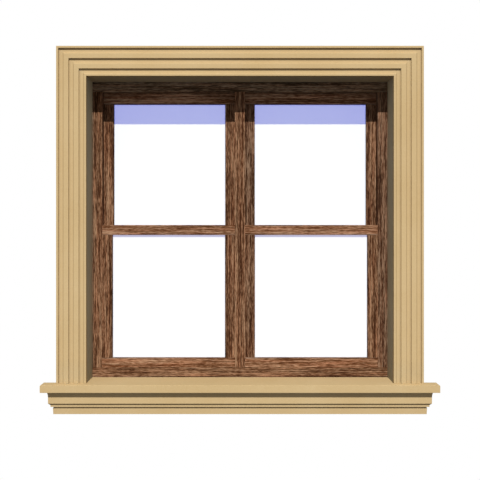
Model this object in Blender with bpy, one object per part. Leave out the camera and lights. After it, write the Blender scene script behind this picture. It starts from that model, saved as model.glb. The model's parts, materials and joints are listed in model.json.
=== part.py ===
"""Moulded window surround with a projecting sill, round a timber window of four lights.

Metres, +Z up. The front faces -Y and the wall's face is the plane y = 0, so what projects from the
wall has a negative y and what is built into it a positive one. The origin is the middle of the
apron's flat back, on the wall.
"""
import math

import bmesh
import bpy

for old_object in list(bpy.data.objects):
    bpy.data.objects.remove(old_object, do_unlink=True)

# The opening in the wall, between the linings and above the sill
OPENING_WIDTH = 1.200
OPENING_HEIGHT = 1.200

# Gap kept between two pieces that touch
JOINT = 0.0003

# Casing: an outer fillet, then bands that each step back, run flat and rise in a hollow to a fascia
CASING_WIDTH = 0.117
CASING_THICKNESS = 0.022
OUTER_FILLET = 0.0081
BAND_PITCH = 0.0400
STEP_DEPTH = 0.0076
RECESS_FLAT = 0.0152
HOLLOW_SPREAD = 0.0055
HOLLOW_SIDES = 6
LEAST_FASCIA = 0.0050

# Lining of the reveal
LINING_THICKNESS = 0.018

# Sill: a nose in front of the wall and a thinner tongue behind it, on a bed of mortar
SILL_THICKNESS = 0.029
SILL_PROJECTION = 0.056
SILL_HORN = 0.055
SILL_END_RADIUS = 0.0035
SILL_END_SIDES = 6
BED_RISE = 0.004

# Apron, from the sill down: each projection is set in or out from the moulding above it
APRON_FASCIA_PROJECTION = 0.0325
APRON_END_SET_IN = 0.0035
COVE_SPREAD = 0.0070
COVE_HEIGHT = 0.0250
COVE_SIDES = 5
FASCIA_HEIGHT = 0.0215
CHAMFER_SET_IN = 0.0077
CHAMFER_HEIGHT = 0.0070
FILLET_HEIGHT = 0.0075
QUIRK_SET_IN = 0.0094
QUIRK_HEIGHT = 0.0055
WAVE_STAND_OUT = 0.0016
WAVE_SET_IN = 0.0010
WAVE_HEIGHT = 0.0245
WAVE_SIDES = 8

# Timber frame
REVEAL_DEPTH = 0.106
FRAME_FACE = 0.040
MULLION_FACE = 0.041

# Lights: the lower two stand flush with the frame's face, the upper two stand behind their plane.
# Rails run through, stiles stand between them, and the two meeting rails lie one behind the other
SASH_THICKNESS = 0.034
PARTING_GAP = 0.001
SASH_BACK_MARGIN = 0.003
BACK_SPLAY = 0.0065
TOP_RAIL = 0.0452
MEETING_RAIL = 0.0403
MEETING_DROP = 0.0015
BOTTOM_RAIL = 0.0395
INNER_STILE = 0.0400
OUTER_STILE = 0.0418

# Glass, let into a groove all round
GLASS_THICKNESS = 0.006
GLASS_SETBACK = 0.0095
GLASS_BITE = 0.007

# Sizes that follow from these
SMOOTH_BELOW = math.radians(35)
FRAME_DEPTH = 2 * SASH_THICKNESS + PARTING_GAP + SASH_BACK_MARGIN
LINING_DEPTH = REVEAL_DEPTH + FRAME_DEPTH
APRON_HEIGHT = COVE_HEIGHT + FASCIA_HEIGHT + CHAMFER_HEIGHT + FILLET_HEIGHT + QUIRK_HEIGHT + WAVE_HEIGHT
APRON_TOP = APRON_HEIGHT / 2
SILL_TOP = APRON_TOP + JOINT + SILL_THICKNESS
HALF_OPENING = OPENING_WIDTH / 2
HALF_CASING = HALF_OPENING + CASING_WIDTH
HALF_LINING = HALF_OPENING + LINING_THICKNESS
HALF_SILL = HALF_CASING + SILL_HORN
MITRE_BACK = JOINT / math.sqrt(2)
FRAME_FRONT = REVEAL_DEPTH
UPPER_FRONT = FRAME_FRONT + SASH_THICKNESS + PARTING_GAP
FRAME_BOTTOM = SILL_TOP + JOINT
FRAME_TOP = SILL_TOP + OPENING_HEIGHT - JOINT
LIGHT_BOTTOM = SILL_TOP + FRAME_FACE
LIGHT_TOP = SILL_TOP + OPENING_HEIGHT - FRAME_FACE
MEETING_MIDDLE = (LIGHT_BOTTOM + LIGHT_TOP) / 2 - MEETING_DROP


# Materials

def linear(level):
    """One sRGB level from 0 to 255 as a linear value."""
    share = level / 255
    return share / 12.92 if share <= 0.04045 else ((share + 0.055) / 1.055) ** 2.4


def plain_material(name, levels, roughness, metallic=0.0):
    """Principled material of one colour, given as sRGB levels."""
    made = bpy.data.materials.new(name)
    made.use_nodes = True
    shader = made.node_tree.nodes["Principled BSDF"]
    shader.inputs["Base Color"].default_value = (*(linear(level) for level in levels), 1.0)
    shader.inputs["Roughness"].default_value = roughness
    shader.inputs["Metallic"].default_value = metallic
    return made


def glass_material(name):
    """Clear glass with a faint blue body."""
    made = plain_material(name, (214, 224, 246), 0.03)
    shader = made.node_tree.nodes["Principled BSDF"]
    shader.inputs["Transmission Weight"].default_value = 1.0
    shader.inputs["IOR"].default_value = 1.5
    return made


# Solids

def swept(outline, start, end, place):
    """Closed solid from an outline of (across, out) points carried along its length.

    start and end give the length coordinate of either end for a point of the outline, so a mitre is
    an end that changes with across. place turns (across, out, along) into x, y and z.
    """
    solid = bmesh.new()
    first = [solid.verts.new(place(across, out, start(across))) for across, out in outline]
    last = [solid.verts.new(place(across, out, end(across))) for across, out in outline]
    solid.faces.new(first)
    solid.faces.new(list(reversed(last)))
    for index in range(len(outline)):
        after = (index + 1) % len(outline)
        solid.faces.new((first[index], last[index], last[after], first[after]))
    bmesh.ops.recalc_face_normals(solid, faces=solid.faces)
    return solid


def block(low, high):
    """Closed box between two corners."""
    solid = bmesh.new()
    bmesh.ops.create_cube(solid, size=1.0)
    for vertex in solid.verts:
        for axis in range(3):
            middle = (low[axis] + high[axis]) / 2
            vertex.co[axis] = middle + vertex.co[axis] * (high[axis] - low[axis])
    return solid


def add_object(name, solid, material, parent, location=(0, 0, 0), smooth=False):
    """Object of one solid, hung on its parent at a place."""
    mesh = bpy.data.meshes.new(name)
    solid.to_mesh(mesh)
    solid.free()
    if smooth:
        mesh.shade_smooth()
        mesh.set_sharp_from_angle(angle=SMOOTH_BELOW)
    mesh.materials.append(material)
    made = bpy.data.objects.new(name, mesh)
    bpy.context.collection.objects.link(made)
    made.parent = parent
    made.location = location
    return made


def add_empty(name, location, parent=None):
    """Empty that carries a group of pieces."""
    made = bpy.data.objects.new(name, None)
    bpy.context.collection.objects.link(made)
    made.parent = parent
    made.location = location
    return made


# Casing

def casing_outline():
    """Section of the casing: across from its outer edge, out from the wall.

    Its back is relieved by one joint where the lining's front edge lies against it.
    """
    relief_start = CASING_WIDTH - LINING_THICKNESS - JOINT
    floor = CASING_THICKNESS - STEP_DEPTH
    outline = [(0, 0), (0, CASING_THICKNESS)]
    step = OUTER_FILLET
    while step + RECESS_FLAT + HOLLOW_SPREAD + LEAST_FASCIA < CASING_WIDTH:
        outline.append((step, CASING_THICKNESS))
        hollow_start = step + RECESS_FLAT
        outline.append((step, floor))
        for side in range(HOLLOW_SIDES + 1):
            turn = math.pi / 2 * side / HOLLOW_SIDES
            across = hollow_start + HOLLOW_SPREAD * math.sin(turn)
            out = floor + STEP_DEPTH * (1 - math.cos(turn))
            outline.append((across, out))
        step += BAND_PITCH
    outline.append((CASING_WIDTH, CASING_THICKNESS))
    outline.append((CASING_WIDTH, JOINT))
    outline.append((relief_start, JOINT))
    outline.append((relief_start, 0))
    return outline


def casing_leg(name, side, material, parent):
    """Upright casing, square on the sill and mitred at the top; side is -1 on the left, 1 on the right."""
    def foot(across):
        return 0

    def mitre(across):
        return OPENING_HEIGHT + CASING_WIDTH - across - MITRE_BACK - JOINT

    def place(across, out, along):
        return (-side * across, -out, along)

    solid = swept(casing_outline(), foot, mitre, place)
    location = (side * HALF_CASING, 0, SILL_TOP + JOINT)
    return add_object(name, solid, material, parent, location, smooth=True)


def casing_head(name, material, parent):
    """Casing over the opening, mitred at both ends."""
    def left_mitre(across):
        return -(HALF_CASING - across - MITRE_BACK)

    def right_mitre(across):
        return HALF_CASING - across - MITRE_BACK

    def place(across, out, along):
        return (along, -out, -across)

    solid = swept(casing_outline(), left_mitre, right_mitre, place)
    location = (0, 0, SILL_TOP + OPENING_HEIGHT + CASING_WIDTH)
    return add_object(name, solid, material, parent, location, smooth=True)


# Linings

def add_linings(material, parent):
    """Two upright linings on the sill and a head lining that lies on them."""
    upright_height = OPENING_HEIGHT - 2 * JOINT
    for name, side in (("lining_left", -1), ("lining_right", 1)):
        solid = block((-LINING_THICKNESS / 2, 0, 0), (LINING_THICKNESS / 2, LINING_DEPTH, upright_height))
        location = (side * (HALF_OPENING + LINING_THICKNESS / 2), 0, SILL_TOP + JOINT)
        add_object(name, solid, material, parent, location)
    solid = block((-HALF_LINING, 0, 0), (HALF_LINING, LINING_DEPTH, LINING_THICKNESS))
    add_object("lining_head", solid, material, parent, (0, 0, SILL_TOP + OPENING_HEIGHT))


# Sill

def add_sill(material, parent):
    """Slab with a nose the whole length, a tongue behind it and rounded upper end corners."""
    radius = min(SILL_END_RADIUS, SILL_THICKNESS * 0.9)
    underside = -SILL_THICKNESS
    ends = []
    for side in (-1, 1):
        corner = [(side * HALF_SILL, underside)]
        for step in range(SILL_END_SIDES + 1):
            turn = math.pi / 2 * step / SILL_END_SIDES
            x = side * (HALF_SILL - radius + radius * math.cos(turn))
            corner.append((x, -radius + radius * math.sin(turn)))
        ends.append(corner)
    outline = ends[0] + list(reversed(ends[1]))
    tongue_low = -SILL_THICKNESS + BED_RISE

    solid = bmesh.new()
    front = [solid.verts.new((x, -SILL_PROJECTION, z)) for x, z in outline]
    back = [solid.verts.new((x, 0, z)) for x, z in outline]
    solid.faces.new(front)
    count = len(outline)
    for index in range(count):
        after = (index + 1) % count
        is_top = index == count // 2 - 1
        if not is_top:
            solid.faces.new((front[index], back[index], back[after], front[after]))

    # The tongue leaves the nose's back as four corners, and shares its flat top
    root = {}
    far = {}
    for side in (-1, 1):
        for level, z in (("top", 0), ("low", tongue_low)):
            root[side, level] = solid.verts.new((side * HALF_LINING, 0, z))
            far[side, level] = solid.verts.new((side * HALF_LINING, LINING_DEPTH, z))
    left_top = back[count // 2 - 1]
    right_top = back[count // 2]
    solid.faces.new((front[count // 2 - 1], left_top, root[-1, "top"], root[1, "top"], right_top,
                     front[count // 2]))
    solid.faces.new((root[-1, "top"], far[-1, "top"], far[1, "top"], root[1, "top"]))
    solid.faces.new((root[-1, "low"], far[-1, "low"], far[1, "low"], root[1, "low"]))
    solid.faces.new((far[-1, "top"], far[-1, "low"], far[1, "low"], far[1, "top"]))
    for side in (-1, 1):
        solid.faces.new((root[side, "top"], far[side, "top"], far[side, "low"], root[side, "low"]))
    wall_face = back[:count // 2] + [root[-1, "top"], root[-1, "low"], root[1, "low"], root[1, "top"]]
    wall_face += back[count // 2:]
    solid.faces.new(wall_face)
    bmesh.ops.recalc_face_normals(solid, faces=solid.faces)
    add_object("sill", solid, material, parent, (0, 0, SILL_TOP), smooth=True)


# Apron

def apron_profile():
    """Points (out, down) of the apron's front, from under the sill to its foot."""
    points = []
    out = APRON_FASCIA_PROJECTION
    down = 0
    for step in range(COVE_SIDES + 1):
        turn = math.pi / 2 * step / COVE_SIDES
        points.append((out + COVE_SPREAD * (1 - math.sin(turn)), COVE_HEIGHT * (1 - math.cos(turn))))
    down += COVE_HEIGHT + FASCIA_HEIGHT
    points.append((out, down))
    out -= CHAMFER_SET_IN
    down += CHAMFER_HEIGHT
    points.append((out, down))
    down += FILLET_HEIGHT
    points.append((out, down))
    out -= QUIRK_SET_IN
    points.append((out, down))
    down += QUIRK_HEIGHT
    points.append((out, down))
    out += WAVE_STAND_OUT
    for step in range(WAVE_SIDES + 1):
        share = step / WAVE_SIDES
        set_in = WAVE_SET_IN * (1 - math.cos(math.pi * share)) / 2
        points.append((out - set_in, down + WAVE_HEIGHT * share))
    return points


def add_apron(material, parent):
    """Moulding under the sill, turned back to the wall at both ends."""
    solid = bmesh.new()
    rings = []
    for out, down in apron_profile():
        reach = HALF_CASING - APRON_END_SET_IN + out
        ring = [(-reach, 0), (-reach, -out), (reach, -out), (reach, 0)]
        rings.append([solid.verts.new((x, y, -down)) for x, y in ring])
    for upper, lower in zip(rings, rings[1:]):
        for side in range(3):
            solid.faces.new((upper[side], upper[side + 1], lower[side + 1], lower[side]))
    solid.faces.new(rings[0])
    solid.faces.new(rings[-1])
    solid.faces.new([ring[0] for ring in rings] + [ring[3] for ring in reversed(rings)])
    bmesh.ops.recalc_face_normals(solid, faces=solid.faces)
    add_object("apron", solid, material, parent, (0, 0, APRON_TOP), smooth=True)


# Timber frame

def add_frame(material, parent):
    """Head and bottom rail between the linings, two jambs and a mullion between them."""
    half_width = HALF_OPENING - JOINT
    back = FRAME_FRONT + FRAME_DEPTH
    half_mullion = MULLION_FACE / 2
    upright_low = LIGHT_BOTTOM + JOINT
    upright_high = LIGHT_TOP - JOINT
    jamb_inside = HALF_OPENING - FRAME_FACE
    pieces = {
        "frame_head": ((-half_width, LIGHT_TOP), (half_width, FRAME_TOP)),
        "frame_bottom_rail": ((-half_width, FRAME_BOTTOM), (half_width, LIGHT_BOTTOM)),
        "frame_jamb_left": ((-half_width, upright_low), (-jamb_inside, upright_high)),
        "frame_jamb_right": ((jamb_inside, upright_low), (half_width, upright_high)),
        "mullion": ((-half_mullion, upright_low), (half_mullion, upright_high)),
    }
    for name, (low, high) in pieces.items():
        middle = ((low[0] + high[0]) / 2, FRAME_FRONT, (low[1] + high[1]) / 2)
        half = ((high[0] - low[0]) / 2, (high[1] - low[1]) / 2)
        solid = block((-half[0], 0, -half[1]), (half[0], back - FRAME_FRONT, half[1]))
        add_object(name, solid, material, parent, middle)


# Lights

def grooved_outline(width, groove_low, groove_high):
    """Section of a sash member: across its width, back from its front, with a groove for the glass.

    Behind the glass its edge is splayed, so that the back doesn't narrow the view.
    """
    groove_front = GLASS_SETBACK - JOINT
    groove_back = GLASS_SETBACK + GLASS_THICKNESS + JOINT
    deep = GLASS_BITE + JOINT
    half = width / 2
    high_back = half - BACK_SPLAY if groove_high else half
    low_back = half - BACK_SPLAY if groove_low else half
    outline = [(-half, 0), (half, 0)]
    if groove_high:
        outline += [(half, groove_front), (half - deep, groove_front)]
        outline += [(half - deep, groove_back), (half, groove_back)]
    outline += [(high_back, SASH_THICKNESS), (-low_back, SASH_THICKNESS)]
    if groove_low:
        outline += [(-half, groove_back), (-half + deep, groove_back)]
        outline += [(-half + deep, groove_front), (-half, groove_front)]
    return outline


def sash_member(name, place, width, length, upright, grooves, material, parent):
    """Member of a light, level or upright, with the middle of its front at place.

    grooves says whether its low and its high edge hold glass.
    """
    def near(across):
        return -length / 2

    def far(across):
        return length / 2

    def place_upright(across, back, along):
        return (across, back, along)

    def place_level(across, back, along):
        return (along, back, across)

    solid = swept(grooved_outline(width, *grooves), near, far, place_upright if upright else place_level)
    add_object(name, solid, material, parent, place)


def add_light(name, side, levels, rails, front, timber, glass, parent):
    """One light between a jamb and the mullion: two rails, two stiles and a pane.

    levels are its lowest and highest level, rails the heights of its bottom and its top rail, and
    front the place of its front face.
    """
    inner = MULLION_FACE / 2 + JOINT
    outer = HALF_OPENING - FRAME_FACE - JOINT
    rail_middle = side * (inner + outer) / 2
    low, high = levels
    bottom_rail, top_rail = rails
    width = outer - inner
    sash_member(f"{name}_bottom_rail", (rail_middle, front, low + bottom_rail / 2), bottom_rail, width,
                False, (False, True), timber, parent)
    sash_member(f"{name}_top_rail", (rail_middle, front, high - top_rail / 2), top_rail, width,
                False, (True, False), timber, parent)

    sight_low = low + bottom_rail
    sight_high = high - top_rail
    sight_inner = inner + INNER_STILE
    sight_outer = outer - OUTER_STILE
    length = sight_high - sight_low - 2 * JOINT
    height = (sight_low + sight_high) / 2
    faces_right = side < 0
    sash_member(f"{name}_outer_stile", (side * (outer - OUTER_STILE / 2), front, height), OUTER_STILE, length,
                True, (not faces_right, faces_right), timber, parent)
    sash_member(f"{name}_inner_stile", (side * (inner + INNER_STILE / 2), front, height), INNER_STILE, length,
                True, (faces_right, not faces_right), timber, parent)

    half = ((sight_outer - sight_inner) / 2 + GLASS_BITE, (sight_high - sight_low) / 2 + GLASS_BITE)
    solid = block((-half[0], 0, -half[1]), (half[0], GLASS_THICKNESS, half[1]))
    location = (side * (sight_inner + sight_outer) / 2, front + GLASS_SETBACK, height)
    add_object(f"{name}_pane", solid, glass, parent, location)


def add_lights(timber, glass, parent):
    """Four lights: a lower and an upper one on either side of the mullion."""
    lower_levels = (LIGHT_BOTTOM + JOINT, MEETING_MIDDLE + MEETING_RAIL / 2)
    upper_levels = (MEETING_MIDDLE - MEETING_RAIL / 2, LIGHT_TOP - JOINT)
    for hand, side in (("left", -1), ("right", 1)):
        add_light(f"{hand}_lower_light", side, lower_levels, (BOTTOM_RAIL, MEETING_RAIL), FRAME_FRONT,
                  timber, glass, parent)
        add_light(f"{hand}_upper_light", side, upper_levels, (MEETING_RAIL, TOP_RAIL), UPPER_FRONT,
                  timber, glass, parent)


# The whole surround

cast_stone = plain_material("cast stone, tan", (212, 183, 134), 0.85)
lining_stone = plain_material("cast stone, shaded tan", (196, 172, 134), 0.88)
dark_oak = plain_material("timber, dark brown", (112, 78, 54), 0.6)
clear_glass = glass_material("clear glass")

surround = add_empty("surround", (0, 0, 0))
window = add_empty("window", (0, 0, 0), surround)

casing_leg("casing_left", -1, cast_stone, surround)
casing_leg("casing_right", 1, cast_stone, surround)
casing_head("casing_head", cast_stone, surround)
add_linings(lining_stone, surround)
add_sill(cast_stone, surround)
add_apron(cast_stone, surround)
add_frame(dark_oak, window)
add_lights(dark_oak, clear_glass, window)
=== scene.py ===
# %% [markdown]
# # A moulded window surround, dressed for the camera
# The real object is a tan cast surround, fixed round a hole in a wall, with a dark timber window of
# four lights set back in its reveal. The construction model already holds every piece at its true size.
# This lesson gives the pieces their worked surfaces and finishes, then lights and frames them.
# The model comes in first, because everything below is measured from it.

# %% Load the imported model
import json
import math

import bmesh
import bpy
import numpy as np
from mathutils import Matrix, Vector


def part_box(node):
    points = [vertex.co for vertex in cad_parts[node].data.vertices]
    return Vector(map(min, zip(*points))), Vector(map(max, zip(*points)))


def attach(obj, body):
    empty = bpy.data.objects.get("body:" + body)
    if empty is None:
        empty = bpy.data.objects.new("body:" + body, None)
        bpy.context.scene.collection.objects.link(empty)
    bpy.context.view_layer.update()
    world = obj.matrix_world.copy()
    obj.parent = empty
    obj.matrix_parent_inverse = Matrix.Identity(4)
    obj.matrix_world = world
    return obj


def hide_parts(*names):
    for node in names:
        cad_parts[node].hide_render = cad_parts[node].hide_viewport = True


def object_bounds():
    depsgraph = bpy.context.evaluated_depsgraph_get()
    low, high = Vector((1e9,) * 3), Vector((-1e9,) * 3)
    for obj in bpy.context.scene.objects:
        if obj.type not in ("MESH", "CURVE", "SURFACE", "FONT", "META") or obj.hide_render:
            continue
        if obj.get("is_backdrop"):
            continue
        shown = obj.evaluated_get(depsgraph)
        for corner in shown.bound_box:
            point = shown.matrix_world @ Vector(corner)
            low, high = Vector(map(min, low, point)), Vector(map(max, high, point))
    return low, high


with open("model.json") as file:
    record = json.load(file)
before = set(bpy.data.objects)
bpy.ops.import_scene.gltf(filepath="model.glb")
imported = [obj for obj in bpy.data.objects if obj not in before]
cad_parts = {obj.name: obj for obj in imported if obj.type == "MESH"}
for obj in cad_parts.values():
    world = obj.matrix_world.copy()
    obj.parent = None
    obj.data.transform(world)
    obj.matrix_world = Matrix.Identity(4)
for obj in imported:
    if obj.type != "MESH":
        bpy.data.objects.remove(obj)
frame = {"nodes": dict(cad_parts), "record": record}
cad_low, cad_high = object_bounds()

print(f"{len(frame['nodes'])} packed pieces, from {tuple(cad_low)} to {tuple(cad_high)}")

# %% [markdown]
# ## The main lines of the work
# A mason sets out a surround from a few lines: the wall's face, the clear opening and the sill's top.
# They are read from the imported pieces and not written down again, so this script and the
# construction can't drift apart. The front looks along -Y, and the wall's face is y = 0.

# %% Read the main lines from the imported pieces
def corners(node):
    """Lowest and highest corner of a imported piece, as two arrays in metres."""
    low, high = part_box(node)
    return np.array(low), np.array(high)


JOINT = 0.0003
left_low, left_high = corners("casing_left")
head_low, head_high = corners("casing_head")
sill_low, sill_high = corners("sill")
apron_low, apron_high = corners("apron")
lining_low, lining_high = corners("lining_head")
casing_width = left_high[0] - left_low[0]
casing_thickness = -left_low[1]
half_opening = -left_high[0]
half_casing = -left_low[0]
sill_top = sill_high[2]
opening_top = head_low[2]
print(f"opening {2 * half_opening:.3f} by {opening_top - sill_top:.3f} m, casing {casing_width:.3f} m wide")

# %% [markdown]
# ## Outlines
# Nearly every piece here is one section carried along a straight line, the way a mould or a plane
# would run it. A real arris is never perfectly sharp, so each corner of a section is worn to a small
# curve. A quadratic curve with the old corner as its control point does that for a whole outline at
# once, without trigonometry, and it never leaves the outline of the solid at an outer corner.

# %% Soften and divide an outline
NEARLY_HALF = 0.45
NO_LENGTH = 1e-9


def soften(outline, radius, steps=3):
    """Closed outline with every corner eased.

    A corner C gives way to (1-t)^2 P + 2 t (1-t) C + t^2 Q, with P and Q at `radius` before and after
    C along the two sides, or NEARLY_HALF of the way where a side is short.
    """
    outline = np.asarray(outline, float)
    to_before = np.roll(outline, 1, axis=0) - outline
    to_after = np.roll(outline, -1, axis=0) - outline
    length_before = np.maximum(np.linalg.norm(to_before, axis=1), NO_LENGTH)
    length_after = np.maximum(np.linalg.norm(to_after, axis=1), NO_LENGTH)
    start = outline + to_before * np.minimum(radius / length_before, NEARLY_HALF)[:, None]
    end = outline + to_after * np.minimum(radius / length_after, NEARLY_HALF)[:, None]
    t = np.linspace(0, 1, steps + 1)[None, :, None]
    eased = (1 - t) ** 2 * start[:, None] + 2 * t * (1 - t) * outline[:, None] + t ** 2 * end[:, None]
    return eased.reshape(-1, outline.shape[1])


def divide(outline, longest):
    """Closed outline whose sides are cut into equal steps no longer than `longest`."""
    side = np.roll(outline, -1, axis=0) - outline
    parts = np.maximum(np.ceil(np.linalg.norm(side, axis=1) / longest).astype(int), 1)
    number = np.arange(parts.sum()) - np.repeat(np.cumsum(parts) - parts, parts)
    stride = np.repeat(side / parts[:, None], parts, axis=0)
    return np.repeat(outline, parts, axis=0) + stride * number[:, None]


square = [(0.0, 0.0), (1.0, 0.0), (1.0, 1.0), (0.0, 1.0)]
print("a unit square, eased and divided:", len(divide(soften(square, 0.1), 0.25)), "points")

# %% [markdown]
# ## From a grid of points to a closed piece
# A section with n points at m stations is an m by n grid. Neighbours in the grid make the side faces,
# the last column joins the first, and one face closes each end. Points that fall on each other,
# such as where a return dies into the wall, are merged, and the faces are then turned outwards.
# That last part is the same for every piece, so it comes first.

# %% Finish a mesh
SMOOTH_BELOW = math.radians(38)
MERGE_WITHIN = 1e-6
made_pieces = []


def finish_mesh(name, mesh, material, replaced):
    """Merge, turn outwards, shade, hide the pieces it replaces, and attach the piece as a rider on the root
    body.
    """
    work = bmesh.new()
    work.from_mesh(mesh)
    bmesh.ops.remove_doubles(work, verts=work.verts, dist=MERGE_WITHIN)
    bmesh.ops.dissolve_degenerate(work, edges=work.edges, dist=MERGE_WITHIN)
    bmesh.ops.recalc_face_normals(work, faces=work.faces)
    work.to_mesh(mesh)
    work.free()
    mesh.shade_smooth()
    mesh.set_sharp_from_angle(angle=SMOOTH_BELOW)
    mesh.materials.append(material)
    piece = bpy.data.objects.new(name, mesh)
    bpy.context.scene.collection.objects.link(piece)
    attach(piece, "root")
    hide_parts(*replaced)
    made_pieces.append(piece)
    print(f"made {name}, {len(mesh.polygons)} faces")
    return piece


# %% [markdown]
# Now the grid. Its faces are written down as whole arrays of point numbers, and a piece may carry
# values at its points, which its finish can read.

# %% Make a piece from a grid
def skin(name, grid, material, replaced, fields=None):
    """Closed piece from a grid of points: rows are stations along it, columns run round its section.

    fields are named values for its points, a vector or a number for each.
    """
    rows, columns = grid.shape[:2]
    index = np.arange(rows * columns).reshape(rows, columns)
    beside = np.roll(index, -1, axis=1)
    quads = np.stack([index[:-1], beside[:-1], beside[1:], index[1:]], axis=-1).reshape(-1, 4)
    faces = quads.tolist() + [index[0, ::-1].tolist(), index[-1].tolist()]
    mesh = bpy.data.meshes.new(name)
    mesh.from_pydata(grid.reshape(-1, 3).tolist(), [], faces)
    for field, values in (fields or {}).items():
        kind, key = ("FLOAT_VECTOR", "vector") if values.ndim == 3 else ("FLOAT", "value")
        layer = mesh.attributes.new(field, kind, "POINT")
        layer.data.foreach_set(key, values.reshape(-1).astype(np.float32))
    return finish_mesh(name, mesh, material, replaced)


print(f"edges under {math.degrees(SMOOTH_BELOW):.0f} degrees are shaded smooth")

# %% [markdown]
# ## Colour
# Colours are named as they are meant to be seen in full sun, in the usual 0 to 255 levels. A surface in
# that sun shows its own colour times the light on it, so the colour that goes into a shader is the
# seen one made linear and divided by that light. Levels become linear by the sRGB rule: a straight
# foot for the darkest, and a power of 2.4 above it.

# %% Turn a seen colour into a shader's colour
SUNLIT = 1.2


def seen(red, green, blue):
    """Shader colour of a surface that shows these levels in full sun."""
    share = np.array([red, green, blue]) / 255
    linear = np.where(share <= 0.04045, share / 12.92, ((share + 0.055) / 1.055) ** 2.4)
    return (*(linear / SUNLIT), 1.0)


print("middle grey in full sun goes into a shader as", round(float(seen(128, 128, 128)[0]), 3))

# %% [markdown]
# ## Nodes in a few words
# A procedural finish is a chain of noises, ramps and mixes. A few short helpers keep each finish
# readable. The first ones make a material and set a noise on given coordinates, which may be
# stretched to give streaks.

# %% Helpers for a material and its noises
def new_material(name, roughness, specular=0.2):
    """Material with one Principled shader; returns it, its nodes, its links and the shader."""
    material = bpy.data.materials.new(name)
    material.use_nodes = True
    tree = material.node_tree
    shader = tree.nodes["Principled BSDF"]
    shader.inputs["Roughness"].default_value = roughness
    shader.inputs["Specular IOR Level"].default_value = specular
    return material, tree, shader


def stretched(tree, source, scale):
    """Coordinates multiplied by one factor for each axis."""
    node = tree.nodes.new("ShaderNodeMapping")
    node.vector_type = "POINT"
    node.inputs["Scale"].default_value = scale
    tree.links.new(source, node.inputs["Vector"])
    return node.outputs["Vector"]


def noise(tree, coordinates, scale=1.0, detail=2.0, roughness=0.5):
    """Noise node on these coordinates."""
    node = tree.nodes.new("ShaderNodeTexNoise")
    node.inputs["Scale"].default_value = scale
    node.inputs["Detail"].default_value = detail
    node.inputs["Roughness"].default_value = roughness
    tree.links.new(coordinates, node.inputs["Vector"])
    return node


# %% [markdown]
# The next ones add several noises up, turn the sum into a colour and turn a height into bumps. Each
# noise swings round a half, so a sum of them is kept round a half too, where a ramp has its middle.

# %% Helpers for sums, colours and bumps
def sum_of(tree, terms):
    """Sum of factor times (value minus a half) over all terms, plus a half."""
    total = None
    for value, factor in terms:
        node = tree.nodes.new("ShaderNodeMath")
        node.operation = "MULTIPLY_ADD"
        tree.links.new(value, node.inputs[0])
        node.inputs[1].default_value = factor
        node.inputs[2].default_value = (0.5 if total is None else 0.0) - 0.5 * factor
        if total is None:
            total = node.outputs["Value"]
        else:
            adder = tree.nodes.new("ShaderNodeMath")
            adder.operation = "ADD"
            tree.links.new(total, adder.inputs[0])
            tree.links.new(node.outputs["Value"], adder.inputs[1])
            total = adder.outputs["Value"]
    return total


def ramp(tree, value, stops):
    """Colour ramp with (position, colour) stops."""
    node = tree.nodes.new("ShaderNodeValToRGB")
    elements = node.color_ramp.elements
    while len(elements) < len(stops):
        elements.new(0.5)
    for element, (position, colour) in zip(elements, stops):
        element.position = position
        element.color = colour
    tree.links.new(value, node.inputs["Fac"])
    return node.outputs["Color"]


def bumps(tree, shader, height, distance, strength=1.0):
    """Bump node from a height to the shader's normal; distance in metres."""
    node = tree.nodes.new("ShaderNodeBump")
    node.inputs["Distance"].default_value = distance
    node.inputs["Strength"].default_value = strength
    tree.links.new(height, node.inputs["Height"])
    tree.links.new(node.outputs["Normal"], shader.inputs["Normal"])


# %% [markdown]
# The other helpers lay a stain over a colour, either where a value is high or where a piece carries a
# number from 0 to 1 at each of its points, which is 0 on pieces that have none. On the casing that number
# is painted shade. On the timber it darkens edges that meet glass and stone, with painted contact shade
# at the stone, and gives some boards a duller tone.

# %% Helpers for stains
MIX_SHARE, MIX_FIRST, MIX_SECOND, MIX_RESULT = 0, 6, 7, 2


def share_above(tree, value, low, high, most):
    """Share from 0 to most, as a value goes from low to high."""
    node = tree.nodes.new("ShaderNodeMapRange")
    node.inputs["From Min"].default_value = low
    node.inputs["From Max"].default_value = high
    node.inputs["To Max"].default_value = most
    tree.links.new(value, node.inputs["Value"])
    return node.outputs["Result"]


def stained(tree, colour, share, stain, blend="MIX"):
    """Colour mixed with, or multiplied by, a stain where share says so.

    The node has sockets of one name for numbers, vectors and colours, so those for colours are
    reached by number.
    """
    node = tree.nodes.new("ShaderNodeMix")
    node.data_type = "RGBA"
    node.blend_type = blend
    tree.links.new(share, node.inputs[MIX_SHARE])
    tree.links.new(colour, node.inputs[MIX_FIRST])
    node.inputs[MIX_SECOND].default_value = stain
    return node.outputs[MIX_RESULT]


def painted_shade_and_tone_share(tree):
    """The attribute that carries painted shade, and on the timber also a duller board tone."""
    node = tree.nodes.new("ShaderNodeAttribute")
    node.attribute_name = "painted_shade_and_tone"
    return node.outputs["Fac"]


# %% [markdown]
# ## Cast stone
# The surround is cast in a fine tan mix and rubbed smooth. From a step away it is one even colour, with
# a faint cloudiness where the mix settled, a coarse grit and a sandy speckle. Three noises give those
# three sizes: the clouds are about 20 centimetres wide, the grit 6 millimetres and the sand less
# than 2. The lining of the reveal is the same mix; its copy here is greyer and bluer, toned to how it
# looks in the shade it always stands in, which is painted shade. Linings and casing are painted darker
# over their feet, painted shade against the light the sunlit sill throws up, and the casing's steps
# carry painted shade in the corner under each step and in the hollows.

# %% Make the cast stone
# Painted shade for the casing's step corners and hollows, multiplied into the stone.
STONE_PAINTED_SHADE = (0.74, 0.73, 0.74, 1.0)
CLOUDS_PER_METRE = 5.5
GRIT_PER_METRE = 170.0
SAND_PER_METRE = 620.0
STONE_RAMP_PLACES = (0.22, 0.50, 0.78)
STONE_RELIEF = 0.0002


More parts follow.
